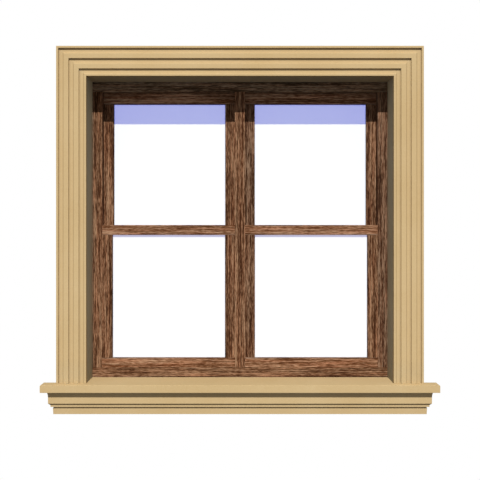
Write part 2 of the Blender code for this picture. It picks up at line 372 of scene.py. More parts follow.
def cast_stone(name, levels, shadow_levels, light_levels, foot_shade_height=None, foot_shade=None):
    """Fine cast stone from its middle colour and its darkest and lightest sand.

    foot_shade is painted shade multiplied in just over the sill, against the light the sunlit sill throws up,
    and foot_shade_height is how far up it fades.
    """
    material, tree, shader = new_material(name, roughness=0.95, specular=0.08)
    place = tree.nodes.new("ShaderNodeTexCoord").outputs["Object"]
    clouds = noise(tree, place, CLOUDS_PER_METRE, detail=3.0, roughness=0.55).outputs["Fac"]
    sand = noise(tree, place, SAND_PER_METRE, detail=2.0, roughness=0.6).outputs["Fac"]
    grit = noise(tree, place, GRIT_PER_METRE, detail=3.0, roughness=0.65).outputs["Fac"]
    value = sum_of(tree, [(clouds, 0.45), (sand, 0.5), (grit, 0.4)])
    sands = [seen(*shadow_levels), seen(*levels), seen(*light_levels)]
    colour = ramp(tree, value, list(zip(STONE_RAMP_PLACES, sands)))
    # Painted shade: the stone is darker where a piece carries a share of it, in the casing's step corners and
    # hollows.
    colour = stained(tree, colour, painted_shade_and_tone_share(tree), STONE_PAINTED_SHADE, "MULTIPLY")
    # Painted shade over the foot, just above the sill.
    if foot_shade:
        axes = tree.nodes.new("ShaderNodeSeparateXYZ")
        tree.links.new(place, axes.inputs["Vector"])
        share = share_above(tree, axes.outputs["Z"], sill_top + foot_shade_height, sill_top, 1.0)
        colour = stained(tree, colour, share, foot_shade, "MULTIPLY")
    tree.links.new(colour, shader.inputs["Base Color"])
    bumps(tree, shader, sum_of(tree, [(sand, 0.7), (grit, 1.0)]), STONE_RELIEF, strength=0.35)
    return material


TAN = [(212, 183, 134), (203, 172, 121), (219, 192, 145)]
# The reveal's copy of the tan, greyer and bluer: painted shade, toned to how the always-shaded reveal looks.
REVEAL_SHADE_TAN = [(205, 189, 155), (195, 178, 142), (213, 199, 165)]
# Painted shade over the feet of casing and linings, against the light the sunlit sill throws up: how far up
# it fades, and its multiplier.
CASING_FOOT_SHADE = (0.10, (0.87, 0.91, 0.97, 1.0))
REVEAL_FOOT_SHADE = (0.30, (0.66, 0.74, 0.86, 1.0))
sill_stone = cast_stone("cast stone, tan, sill and apron", *TAN)
casing_stone = cast_stone("cast stone, tan, casing", *TAN, *CASING_FOOT_SHADE)
reveal_stone = cast_stone("cast stone, tan toned to its shade, reveal", *REVEAL_SHADE_TAN, *REVEAL_FOOT_SHADE)
print("stone:", sill_stone.name, "/", casing_stone.name, "/", reveal_stone.name)

# %% [markdown]
# ## Timber
# The window is dark brown timber with a strong open grain. The grain runs along each member, so it
# can't be fixed to the world's axes: every member carries its own coordinates, first along its
# length, then across its face, then into its depth, and each starts at another place in the tree.
# A slow noise bends them, as growth rings bend round knots.

# %% Bend the grain
FLOW = 0.0016
BENDS = (9.0, 30.0, 30.0)


def grain_coordinates(tree):
    """The attribute called grain, pushed sideways by a slow noise times FLOW."""
    attribute = tree.nodes.new("ShaderNodeAttribute")
    attribute.attribute_name = "grain"
    straight = attribute.outputs["Vector"]
    bend = noise(tree, stretched(tree, straight, BENDS), detail=2.0)
    shift = tree.nodes.new("ShaderNodeVectorMath")
    shift.operation = "MULTIPLY_ADD"
    tree.links.new(bend.outputs["Color"], shift.inputs[0])
    shift.inputs[1].default_value = (0.0, FLOW, FLOW)
    tree.links.new(straight, shift.inputs[2])
    return shift.outputs["Vector"]


print(f"the grain wanders by up to {FLOW * 1000:.1f} mm")

# %% [markdown]
# Noise stretched ten to forty times along the grain makes streaks. Four sizes of it give the colour, a
# fifth warms some of the streaks and a sixth cuts the dark open pores. The timber is painted darker and
# greyer along the glass, and with painted contact shade where the frame meets the stone. Each noise is
# named with its number of cells in a metre along the grain, across the face and into the depth.

# %% Name the timber's noises and stains
BROAD = (1.8, 70.0, 70.0)
STREAKS = (5.5, 230.0, 230.0)
FLECKS = (26.0, 300.0, 300.0)
FIBRES = (60.0, 700.0, 700.0)
TINTS = (4.5, 140.0, 140.0)
PORES = (15.0, 340.0, 340.0)
TINT_FROM, TINT_TO, MOST_TINT = 0.42, 0.68, 0.9
PORE_FROM, PORE_TO, MOST_PORE = 0.57, 0.66, 0.9
RED_STAIN = (1.13, 0.96, 0.90, 1.0)
# Multiplied in along edges that meet glass, as painted contact shade where they meet stone, and on the duller
# boards.
SHADE_AND_TONE_STAIN = (0.61, 0.70, 0.83, 1.0)
RAMP_PLACES = (0.16, 0.34, 0.50, 0.66, 0.84)
TIMBER_RELIEF = 0.0007
print("timber: six noises, from", BROAD[0], "to", FIBRES[1], "cells in a metre")

# %% [markdown]
# The shades differ with the place in the window: upright members are darkest and the lights' level ones
# are warmest. The frame's head, only ever seen in shade, has a greyer copy toned to that shade, and the
# frame's foot a darker copy against the light the sunlit sill throws on it: both copies are painted shade.

# %% Make the timber
def timber(name, levels, pore_levels):
    """Brown timber whose streaks run along the attribute called grain; levels go from dark to light."""
    material, tree, shader = new_material(name, roughness=0.8, specular=0.05)
    bent = grain_coordinates(tree)
    broad = noise(tree, stretched(tree, bent, BROAD), detail=1.0).outputs["Fac"]
    streak = noise(tree, stretched(tree, bent, STREAKS), detail=1.5).outputs["Fac"]
    fleck = noise(tree, stretched(tree, bent, FLECKS), detail=2.0, roughness=0.6).outputs["Fac"]
    fibre = noise(tree, stretched(tree, bent, FIBRES), detail=2.0).outputs["Fac"]
    value = sum_of(tree, [(broad, 1.0), (streak, 1.3), (fleck, 1.4), (fibre, 1.4)])
    colour = ramp(tree, value, [(place, seen(*level)) for place, level in zip(RAMP_PLACES, levels)])
    tint = noise(tree, stretched(tree, bent, TINTS), detail=1.0).outputs["Fac"]
    tinted = share_above(tree, tint, TINT_FROM, TINT_TO, MOST_TINT)
    colour = stained(tree, colour, tinted, RED_STAIN, "MULTIPLY")
    pores = noise(tree, stretched(tree, bent, PORES), detail=1.5).outputs["Fac"]
    open_pores = share_above(tree, pores, PORE_FROM, PORE_TO, MOST_PORE)
    colour = stained(tree, colour, open_pores, seen(*pore_levels))
    # Darker and greyer along the glass, painted contact shade at the stone, and a duller tone on some boards.
    colour = stained(tree, colour, painted_shade_and_tone_share(tree), SHADE_AND_TONE_STAIN, "MULTIPLY")
    tree.links.new(colour, shader.inputs["Base Color"])
    bumps(tree, shader, value, TIMBER_RELIEF, strength=0.6)
    return material


upright_timber = timber("timber, dark brown, upright", [
    (60, 34, 18), (92, 60, 38), (121, 86, 61), (144, 107, 79), (171, 134, 102)], (60, 33, 16))
level_timber = timber("timber, warm brown, level", [
    (90, 54, 31), (121, 83, 55), (149, 109, 81), (167, 127, 97), (192, 153, 121)], (82, 48, 26))
# A darker copy for the frame's foot: painted shade against the light the sunlit sill throws on it.
foot_timber_shade_toned = timber("timber, brown, at the foot", [
    (65, 38, 20), (92, 61, 39), (119, 86, 61), (139, 106, 79), (168, 131, 101)], (60, 33, 16))
# A greyer copy for the frame's head, toned to how it looks in shade: painted shade.
head_timber_shade_toned = timber("timber, greyer brown, toned to its shade at the head", [
    (70, 50, 34), (103, 80, 58), (130, 105, 80), (149, 124, 99), (173, 148, 123)], (60, 43, 28))
for shade in (upright_timber, level_timber, foot_timber_shade_toned, head_timber_shade_toned):
    print("made", shade.name)

# %% [markdown]
# ## The linings
# The reveal is lined with three plain slabs. Their shape in the construction model is already right, so
# those pieces stay and only take the stone's greyer finish, a copy toned to their look in shade: painted
# shade.

# %% Finish the linings
for node_name in ("lining_left", "lining_right", "lining_head"):
    frame["nodes"][node_name].material_slots[0].material = reveal_stone
    print("finished", node_name)

# %% [markdown]
# ## The casing
# The casing frames the opening on three sides. Its section starts at the outer edge with a narrow
# fillet, then steps back, runs flat and rises in a quarter hollow to a flat fascia, three times over.
# In a real casting that section is the mould. Here it is an outline of points, and the uprights and
# the head are the same outline carried along, with ends that follow the mitre.

# %% Draw the casing's section
OUTER_FILLET = 0.0081
BAND_PITCH = 0.0400
STEP_DEPTH = 0.0076
RECESS_FLAT = 0.0152
HOLLOW_SPREAD = 0.0055
LEAST_FASCIA = 0.0050
ARRIS = 0.0004
HOLLOW_POINTS = 7
SECTION_STEP = 0.004
lining_thickness = lining_high[2] - lining_low[2]


def casing_section():
    """Closed outline (across from the outer edge, out from the wall) of the casing.

    In each band the hollow is a quarter ellipse: across = start + spread sin a and
    out = floor + depth (1 - cos a).
    """
    floor = casing_thickness - STEP_DEPTH
    angles = np.linspace(0, math.pi / 2, HOLLOW_POINTS)
    bands = []
    step = OUTER_FILLET
    while step + RECESS_FLAT + HOLLOW_SPREAD + LEAST_FASCIA < casing_width:
        bands.append(np.array([[step, casing_thickness], [step, floor]]))
        across = step + RECESS_FLAT + HOLLOW_SPREAD * np.sin(angles)
        out = floor + STEP_DEPTH * (1 - np.cos(angles))
        bands.append(np.stack([across, out], axis=1))
        step += BAND_PITCH
    relief = casing_width - lining_thickness - JOINT
    back = np.array([[casing_width, casing_thickness], [casing_width, JOINT], [relief, JOINT], [relief, 0.0]])
    start = np.array([[0.0, 0.0], [0.0, casing_thickness]])
    return divide(soften(np.concatenate([start, *bands, back]), ARRIS), SECTION_STEP)


section = casing_section()
print(f"casing section: {len(section)} points, {casing_width * 1000:.0f} by {casing_thickness * 1000:.0f} mm")

# %% [markdown]
# The corner under each step is painted darker, and the hollows a little: painted shade, which deepens the
# shadow under the steps. Its share goes into the section as a number for each of its points.

# %% Put painted shade into the casing's section
# Painted shade: its width under each step, and its share in the hollows.
STEP_SHADE_WIDTH = 0.0068
HOLLOW_SHADE = 0.35
INTO_HOLLOW = 0.0003
INTO_STEP = 0.0001
SUNK_BELOW = 0.001


def casing_painted_shade(outline):
    """Share of painted shade for each point of the casing's section.

    It is 1 in the corner under a step and fades in a straight line over STEP_SHADE_WIDTH. In the hollows
    it is HOLLOW_SHADE, and on the raised flats and the back it is 0.
    """
    across, out = outline[:, 0], outline[:, 1]
    past_step = (across - OUTER_FILLET) % BAND_PITCH
    corner = np.clip(1 - past_step / STEP_SHADE_WIDTH, 0, 1)
    in_hollow = (past_step > RECESS_FLAT + INTO_HOLLOW) & (past_step < RECESS_FLAT + HOLLOW_SPREAD)
    sunk = (out < casing_thickness - SUNK_BELOW) & (out > casing_thickness / 2)
    sunk &= across > OUTER_FILLET - INTO_STEP
    return np.where(sunk, np.maximum(corner, HOLLOW_SHADE * in_hollow), 0.0)


section_painted_shade = casing_painted_shade(section)
# The points counted here carry painted shade.
print(f"casing: dirt at {np.count_nonzero(section_painted_shade)} of {len(section)} points of its section")

# %% [markdown]
# Each length runs from one end to the other in even shares, and both ends depend on how far a point
# lies from the outer edge. At a mitre the length shortens by exactly that distance, which is what a
# saw set to 45 degrees does. MITRE_GAP is a hair's breadth, so that the two cut faces don't flicker.

# %% Run the casing's three lengths
STATION_STEP = 0.03
MITRE_GAP = 0.00003


def carried(outline, start, end, place):
    """Grid of an outline carried from start(across) to end(across) in even shares of the way."""
    across, out = outline[:, 0], outline[:, 1]
    low, high = start(across), end(across)
    stations = max(2, int(np.max(high - low) / STATION_STEP))
    share = np.linspace(0, 1, stations)[:, None]
    along = low[None] + share * (high - low)[None]
    return place(np.broadcast_to(across, along.shape), np.broadcast_to(out, along.shape), along)


for name, side in (("casing_left", -1), ("casing_right", 1)):
    grid = carried(
        section,
        lambda across: np.full_like(across, sill_top + JOINT),
        lambda across: opening_top + casing_width - across - MITRE_GAP,
        lambda across, out, along: np.stack([side * (half_casing - across), -out, along], axis=-1),
    )
    # The section's painted shade goes along each upright.
    fields = {"painted_shade_and_tone": np.broadcast_to(section_painted_shade, grid.shape[:2])}
    skin(name + "_moulding", grid, casing_stone, [name], fields)
head_grid = carried(
    section,
    lambda across: -(half_casing - across - MITRE_GAP),
    lambda across: half_casing - across - MITRE_GAP,
    lambda across, out, along: np.stack([along, -out, head_high[2] - across], axis=-1),
)
# The section's painted shade goes along the head.
fields = {"painted_shade_and_tone": np.broadcast_to(section_painted_shade, head_grid.shape[:2])}
skin("casing_head_moulding", head_grid, casing_stone, ["casing_head"], fields)
print("casing:", [len(piece.data.polygons) for piece in made_pieces], "faces")

# %% [markdown]
# ## The sill
# The sill is one slab. Seen from above it is a T: a long nose in front of the wall and a tongue that
# runs back between the walls, under the linings and the timber. It is built as a pile of T-shaped
# outlines, one for each height. The ends of the nose draw in near the top by a quarter circle, which
# rounds the two upper end corners, and the front edge draws in by a hair's breadth at its arrises.

# %% Pile up the sill
END_RADIUS = 0.0035
SILL_ARRIS = 0.0004
BED_RISE = 0.004
ARRIS_LEVELS = 5
END_LEVELS = 15
half_sill = sill_high[0]
half_tongue = lining_high[0]


def drawn_in(distance, radius):
    """How far a rounded edge draws in at a distance inside the face: r - sqrt(r^2 - (r - d)^2)."""
    short = np.clip(radius - distance, 0, radius)
    return radius - math.sqrt(radius ** 2 - short ** 2)


def sill_outline(height, tongue_back):
    """T-shaped outline of the sill at a height, with its tongue reaching to tongue_back."""
    from_top = sill_high[2] - height
    from_bottom = height - sill_low[2]
    end = half_sill - drawn_in(from_top, END_RADIUS) - drawn_in(from_bottom, SILL_ARRIS)
    front = sill_low[1] + drawn_in(from_top, SILL_ARRIS) + drawn_in(from_bottom, SILL_ARRIS)
    outline = soften([
        (-end, front), (end, front), (end, 0.0), (half_tongue, 0.0),
        (half_tongue, tongue_back), (-half_tongue, tongue_back), (-half_tongue, 0.0), (-end, 0.0),
    ], SILL_ARRIS)
    return np.column_stack([outline, np.full(len(outline), height)])


bed = sill_low[2] + BED_RISE
quarter = 1 - np.cos(np.linspace(0, math.pi / 2, ARRIS_LEVELS))
end_quarter = 1 - np.cos(np.linspace(0, math.pi / 2, END_LEVELS))
low_heights = np.concatenate([sill_low[2] + SILL_ARRIS * quarter, [bed]])
top_heights = sill_high[2] - END_RADIUS * end_quarter[::-1]
fine_heights = sill_high[2] - SILL_ARRIS * quarter
high_heights = np.unique(np.concatenate([[bed], top_heights, fine_heights]).round(7))
pile = [sill_outline(height, 0.0) for height in low_heights]
pile += [sill_outline(height, sill_high[1]) for height in high_heights]
skin("sill_slab", np.array(pile), sill_stone, ["sill"])
print(f"sill: {len(pile)} outlines, {2 * half_sill:.3f} m long, {-sill_low[1]:.3f} m out from the wall")

# %% [markdown]
# ## The apron
# Under the sill the surround steps back to the wall in a stack of small mouldings: a shallow cove, a
# fascia, a bevel, a fillet, a sunk quirk and a wave-shaped foot. At both ends the whole stack turns
# back to the wall. One closed section, carried round that path, gives it all: at every station a
# point that stands out by some distance lies that far beyond the wall's line or the casing's edge.

# %% Draw the apron's section
FASCIA_OUT = 0.0325
END_SET_IN = 0.0035
APRON_ARRIS = 0.0005
COVE_SPREAD = 0.0070
COVE_HEIGHT = 0.0250
FASCIA_HEIGHT = 0.0215
CHAMFER_SET_IN = 0.0077
CHAMFER_HEIGHT = 0.0070
FILLET_HEIGHT = 0.0075
QUIRK_SET_IN = 0.0094
QUIRK_HEIGHT = 0.0055
WAVE_STAND_OUT = 0.0016
WAVE_SET_IN = 0.0010
WAVE_HEIGHT = 0.0245
COVE_POINTS = 7
WAVE_POINTS = 10
APRON_STEP = 0.006


def apron_section():
    """Closed outline (out from the wall, down from the top) of the apron.

    The cove is a quarter of an ellipse: out = fascia + spread (1 - sin a), down = height (1 - cos a).
    The foot is a half wave: out = start - depth (1 - cos pi s) / 2.
    """
    angle = np.linspace(0, math.pi / 2, COVE_POINTS)
    cove_out = FASCIA_OUT + COVE_SPREAD * (1 - np.sin(angle))
    cove = np.stack([cove_out, COVE_HEIGHT * (1 - np.cos(angle))], axis=1)
    sizes_in = np.array([0, CHAMFER_SET_IN, 0, QUIRK_SET_IN, 0])
    sizes_down = np.array([FASCIA_HEIGHT, CHAMFER_HEIGHT, FILLET_HEIGHT, 0, QUIRK_HEIGHT])
    steps = np.stack([FASCIA_OUT - np.cumsum(sizes_in), COVE_HEIGHT + np.cumsum(sizes_down)], axis=1)
    share = np.linspace(0, 1, WAVE_POINTS)
    foot_out = steps[-1, 0] + WAVE_STAND_OUT - WAVE_SET_IN * (1 - np.cos(math.pi * share)) / 2
    foot = np.stack([foot_out, steps[-1, 1] + WAVE_HEIGHT * share], axis=1)
    back = np.array([[0.0, foot[-1, 1]], [0.0, 0.0]])
    return divide(soften(np.concatenate([cove, steps, foot, back]), APRON_ARRIS), APRON_STEP)


apron_outline = apron_section()
print(f"apron section: {len(apron_outline)} points, {apron_outline[:, 1].max() * 1000:.0f} mm high")

# %% [markdown]
# The path starts at the wall on the left, turns the corner, runs along the front and turns back to the
# wall on the right. Each corner is eased a little by a quarter circle in plan, as a mould's is.

# %% Carry it from wall to wall
CORNER_EASE = 0.0008
CORNER_POINTS = 5
FRONT_POINTS = 49


def apron_path(out):
    """Stations in plan for points that stand out by `out`: left return, front, right return."""
    reach = half_casing - END_SET_IN + out
    ease = np.minimum(CORNER_EASE, out / 2)
    turn = np.linspace(0, math.pi / 2, CORNER_POINTS)[:, None]
    corner_x = reach - ease * (1 - np.cos(turn))
    corner_y = -(out - ease * (1 - np.sin(turn)))
    share = np.linspace(-1, 1, FRONT_POINTS)[1:-1, None]
    right = np.stack([corner_x, corner_y], axis=-1)
    left = np.stack([-corner_x, corner_y], axis=-1)
    front = np.stack([share * reach, np.broadcast_to(-out, (len(share), len(out)))], axis=-1)
    wall_left = np.stack([-reach, np.zeros_like(out)], axis=-1)[None]
    wall_right = np.stack([reach, np.zeros_like(out)], axis=-1)[None]
    return np.concatenate([wall_left, left, front, right[::-1], wall_right])


plan = apron_path(apron_outline[:, 0])
level = np.broadcast_to(apron_high[2] - apron_outline[:, 1], plan.shape[:2])
apron_grid = np.concatenate([plan, level[..., None]], axis=-1)
skin("apron_moulding", apron_grid, sill_stone, ["apron"])
print("apron:", plan.shape[0], "stations from wall to wall")

# %% [markdown]
# ## The timber members
# Every member of the window is a planed length of timber: a rectangle with worn arrises, and in the
# lights a groove that holds the glass. Weather has raised its grain, so the faces aren't flat: soft
# wood between the rings has sunk by a few tenths of a millimetre and a few checks have opened.
# That relief is real shape, worked out by a smooth random surface that is stretched along the length.

# %% Smooth random relief
LATTICE = 128


def lattice_noise(u, v, seed):
    """Smooth noise from -1 to 1.

    Whole numbers of u and v carry random heights; between them the height is blended with weights
    3 t^2 - 2 t^3 in each direction.
    """
    heights = np.random.default_rng(seed).uniform(-1, 1, (LATTICE, LATTICE))
    low_u, low_v = np.floor(u).astype(int), np.floor(v).astype(int)
    t, s = u - low_u, v - low_v
    t, s = t * t * (3 - 2 * t), s * s * (3 - 2 * s)
    here_u, next_u = low_u % LATTICE, (low_u + 1) % LATTICE
    here_v, next_v = low_v % LATTICE, (low_v + 1) % LATTICE
    row = heights[here_u, here_v] * (1 - t) + heights[next_u, here_v] * t
    next_row = heights[here_u, next_v] * (1 - t) + heights[next_u, next_v] * t
    return row * (1 - s) + next_row * s


sample = lattice_noise(np.linspace(0, 9, 50), np.zeros(50), 1)
print(f"a sample of the noise runs from {sample.min():.2f} to {sample.max():.2f}")

# %% [markdown]
# Two such noises shape the timber. One is the rings, a few millimetres wide and nearly ten centimetres
# long. The other opens a check only where it is highest, so checks are few and start and end softly.
# Both follow a slow wander, as grain does.

# %% Work out how far the timber has sunk
GRAIN_DEPTH = 0.00022
CHECK_DEPTH = 0.0007
WANDER_LENGTH, WANDER_WIDTH, WANDER_REACH = 0.13, 0.03, 0.004
RING_LENGTH, RING_WIDTH = 0.09, 0.006
CHECK_LENGTH, CHECK_WIDTH = 0.16, 0.009
CHECK_FROM, CHECK_FADE = 0.62, 0.3


def weathering(along, girth, seed):
    """Depth that the surface has sunk at a place along a member and round its section, in metres.

    It is grain (1 + rings) / 2 + check s^2, with s the share by which a noise passes CHECK_FROM.
    """
    wander = WANDER_REACH * lattice_noise(along / WANDER_LENGTH, girth / WANDER_WIDTH, seed)
    rings = lattice_noise(along / RING_LENGTH, (girth + wander) / RING_WIDTH, seed + 1)
    split = lattice_noise(along / CHECK_LENGTH, (girth + wander) / CHECK_WIDTH, seed + 2)
    check = np.clip((split - CHECK_FROM) / CHECK_FADE, 0, 1)
    return GRAIN_DEPTH * (0.5 + 0.5 * rings) + CHECK_DEPTH * check ** 2


print(f"timber: at most {(GRAIN_DEPTH + CHECK_DEPTH) * 1000:.1f} mm sunk")

# %% [markdown]
# A member's groove is read from the panes: where a pane's edge lies inside the member, there is a
# groove as deep as that, with the joint's clearance added. Members that hold no glass get none.
# Behind the glass a member's edge is splayed, so that its back doesn't narrow the view.

# %% Find the grooves
panes = {name: corners(name) for name in frame["nodes"] if name.endswith("_pane")}


def grooves(low, high, axis):
    """(depth on the low side, depth on the high side, front and back of the groove) of a member.

    axis is the one across the member's face, 0 for an upright and 2 for a level one.
    """
    depths = [0.0, 0.0]
    front = back = None
    for pane_low, pane_high in panes.values():
        meets = all(pane_low[other] < high[other] and pane_high[other] > low[other] for other in range(3))
        if meets:
            front, back = pane_low[1] - JOINT, pane_high[1] + JOINT
            if pane_low[axis] < low[axis]:
                depths[0] = pane_high[axis] - low[axis] + JOINT
            else:
                depths[1] = high[axis] - pane_low[axis] + JOINT
    return depths[0], depths[1], front, back


groove_depths = grooves(*corners("left_lower_light_bottom_rail"), 2)[:2]
print("grooves of a bottom rail, low and high side:", [round(float(depth), 4) for depth in groove_depths])

# %% [markdown]
# With its grooves known, a member's outline is a rectangle with up to two notches, drawn back from
# the wall's face. Every arris is eased by less than a millimetre.

# %% Draw a member's section
BACK_SPLAY = 0.0065
TIMBER_ARRIS = 0.0007
MEMBER_STEP = 0.0025


def member_section(low, high, axis):
    """Closed outline (across, back from the wall's face) of a member, with its grooves."""
    front, back = low[1], high[1]
    low_groove, high_groove, groove_front, groove_back = grooves(low, high, axis)
    low_back = low[axis] + (BACK_SPLAY if low_groove else 0)
    high_back = high[axis] - (BACK_SPLAY if high_groove else 0)
    outline = [(low_back, back), (low[axis], front), (high[axis], front), (high_back, back)]
    if high_groove:
        inside = high[axis] - high_groove
        outline[3:3] = [(high[axis], groove_front), (inside, groove_front),
                        (inside, groove_back), (high[axis], groove_back)]
    if low_groove:
        inside = low[axis] + low_groove
        outline[1:1] = [(low[axis], groove_back), (inside, groove_back),
                        (inside, groove_front), (low[axis], groove_front)]
    return divide(soften(outline, TIMBER_ARRIS), MEMBER_STEP)


print("mullion's section:", len(member_section(*corners("mullion"), 0)), "points")

# %% [markdown]
# Joiners' joints are tight, so in the picture no light may pass between two members. Each one grows
# by nearly half of the joint that the construction model keeps, and its weathering stops at its front
# face. A member is painted darker and greyer where its edge meets the glass, and with painted contact
# shade where it meets the stone; both fade over a few millimetres. No two boards weather alike, so
# three of them are duller all over.

# %% Find the darkened edges of a member
TIGHTEN = 0.45 * JOINT
# Width over which edges are darkened; at the stone this is painted contact shade.
EDGE_SHADE_WIDTH = 0.0065
MEETS_WITHIN = 3 * JOINT
DULL_BOARDS = {
    "frame_jamb_right": 0.58,
    "right_upper_light_inner_stile": 0.62,
    "right_lower_light_inner_stile": 0.32,
}


def darkened_edges(low, high, axis):
    """Places across a member where its edge meets glass or stone."""
    low_groove, high_groove, _, _ = grooves(low, high, axis)
    stone = ((-half_opening, half_opening), None, (sill_top, opening_top))[axis]
    edges = []
    if low_groove or abs(low[axis] - stone[0]) < MEETS_WITHIN:
        edges.append(low[axis])
    if high_groove or abs(high[axis] - stone[1]) < MEETS_WITHIN:
        edges.append(high[axis])
    return edges


def painted_shade_and_tone(across, edges, least):
    """Share of darkening: 1 at an edge that meets glass or stone, down to `least` in a straight line within
    EDGE_SHADE_WIDTH.
    """
    share = np.full_like(across, least)
    for edge in edges:
        share = np.maximum(share, np.clip(1 - np.abs(across - edge) / EDGE_SHADE_WIDTH, 0, 1))
    return share


print("edges of the frame's head that carry dirt:", len(darkened_edges(*corners("frame_head"), 2)))

# %% [markdown]
# A member is its section carried from one end to the other in short rows. At each point the
# weathering sets the front back, and two fields go with the mesh: where the point lies in the grain,
# and how much it is darkened, by painted shade at its edges and by a duller board tone. Every member
# starts at its own random place in the tree.

# %% Plane and weather one member
FRONT_DEPTH = 0.0012
ROW_STEP = 0.007
TREE_SIZE = 40
SEEDS_APART, FIRST_SEED = 17, 5


def timber_finish(node_name, upright):
    """Which of the four shades a member has."""
    if upright:
        return upright_timber
    # The head's and the foot's copies are painted shade.
    return {"frame_head": head_timber_shade_toned, "frame_bottom_rail": foot_timber_shade_toned}.get(node_name, level_timber)


def timber_piece(node_name, order):
    """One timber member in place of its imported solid.

    Each point of its front is set back by the weathering at that place.
    """
    low, high = corners(node_name)
    upright = high[2] - low[2] > high[0] - low[0]
    axis, length_axis = (0, 2) if upright else (2, 0)
    outline = member_section(low, high, axis)
    edges = darkened_edges(low, high, axis)
    middle = (low[axis] + high[axis]) / 2
    outline[:, 0] += TIGHTEN * np.sign(outline[:, 0] - middle)
    steps = np.linalg.norm(np.roll(outline, -1, axis=0) - outline, axis=1)
    girth = np.cumsum(steps) - steps
    front_share = np.clip(1 - (outline[:, 1] - low[1]) / FRONT_DEPTH, 0, 1)

    rows = int((high[length_axis] - low[length_axis]) / ROW_STEP)
    along = np.linspace(low[length_axis] - TIGHTEN, high[length_axis] + TIGHTEN, rows)[:, None]
    along = along + np.zeros(len(outline))
    seed = SEEDS_APART * order + FIRST_SEED
    depth = weathering(along - low[length_axis], girth[None] + np.zeros((rows, 1)), seed)
    across = np.broadcast_to(outline[None, :, 0], depth.shape)
    back = outline[None, :, 1] + front_share[None] * depth
    grid = np.zeros((rows, len(outline), 3))
    grid[..., length_axis], grid[..., axis], grid[..., 1] = along, across, back

    start = np.random.default_rng(order).uniform(0, TREE_SIZE, 3)
    # Painted contact shade at stone edges, darkening along the glass, and each board's duller tone.
    darkening = painted_shade_and_tone(across, edges, DULL_BOARDS.get(node_name, 0.0))
    fields = {"grain": np.stack([along, across, back], axis=-1) + start, "painted_shade_and_tone": darkening}
    return skin(node_name + "_timber", grid, timber_finish(node_name, upright), [node_name], fields)


timber_nodes = sorted(sub["node"] for sub in frame["record"]["subparts"] if sub["material_slot"] == "timber")
for order, node_name in enumerate(timber_nodes):
    timber_piece(node_name, order)
faces = sum(len(piece.data.polygons) for piece in made_pieces[-len(timber_nodes):])
print(f"timber: {len(timber_nodes)} members, {faces} faces")

# %% [markdown]
# ## Glass
# The panes are clear sheet with a faint blue cast. In the sun they are as bright as the white behind
# them, and where the head of the surround shades them the blue shows. Plain values on the shader
# do both: a quarter of what is behind comes through, and the rest is the pane's own skin, which is
# pale in the sun and in the shade shows a blue glow: an emission, painted light, since glass gives
# off none. Its base is short of blue by as much as the glow adds, so that its three channels meet in
# full sun and its rim takes no colour. The lower panes are given a weaker, less blue glow, which paints
# their shade under the glazing bar paler. Only the front of a sheet has that skin. Its back lets
# nearly everything through, or the pane would be dimmed twice.

# %% Make the glass
FRONT_SKIN = 0.75
BACK_SKIN = 0.10


def clear_glass(name, skin_share, base, painted_glow):
    """Pale see-through skin, set by plain values alone."""
    material, tree, shader = new_material(name, roughness=0.06, specular=0.4)
    shader.inputs["Base Color"].default_value = (*base, 1.0)
    shader.inputs["Alpha"].default_value = skin_share
    # The emission is painted light: a blue glow that glass doesn't give off, standing in for the blue of the
    # pane in shade.
    shader.inputs["Emission Color"].default_value = (*painted_glow, 1.0)
    shader.inputs["Emission Strength"].default_value = 1.0
    material.surface_render_method = "BLENDED"
    return material


# Each kind's emission colour is a painted glow; the lower panes' weaker one paints their shade paler.
upper_glass = clear_glass("glass, clear, upper panes", FRONT_SKIN, (0.90, 0.87, 0.36), (0.03, 0.075, 0.66))
lower_glass = clear_glass("glass, clear, lower panes", FRONT_SKIN, (0.73, 0.75, 0.53), (0.22, 0.20, 0.47))
glass_back = clear_glass("glass, clear, back", BACK_SKIN, (0.90, 0.95, 1.0), (0.0, 0.0, 0.0))
print("glass: two kinds for the front of a sheet, one for its back")

# %% [markdown]
# Sheet glass is never perfectly flat. Each pane gets a slow ripple of some hundredths of a
# millimetre on its front, which only shows in what it reflects. The panes don't throw light on the
# reveal, so that the shade there stays as deep as clear glass would leave it.

# %% Glaze the four openings
RIPPLE = 0.00006
RIPPLE_LENGTH = 0.11
PANE_COLUMNS = 41
PANE_ROWS = 45
LATTICE_SHIFT = 20
FIRST_PANE_SEED = 300


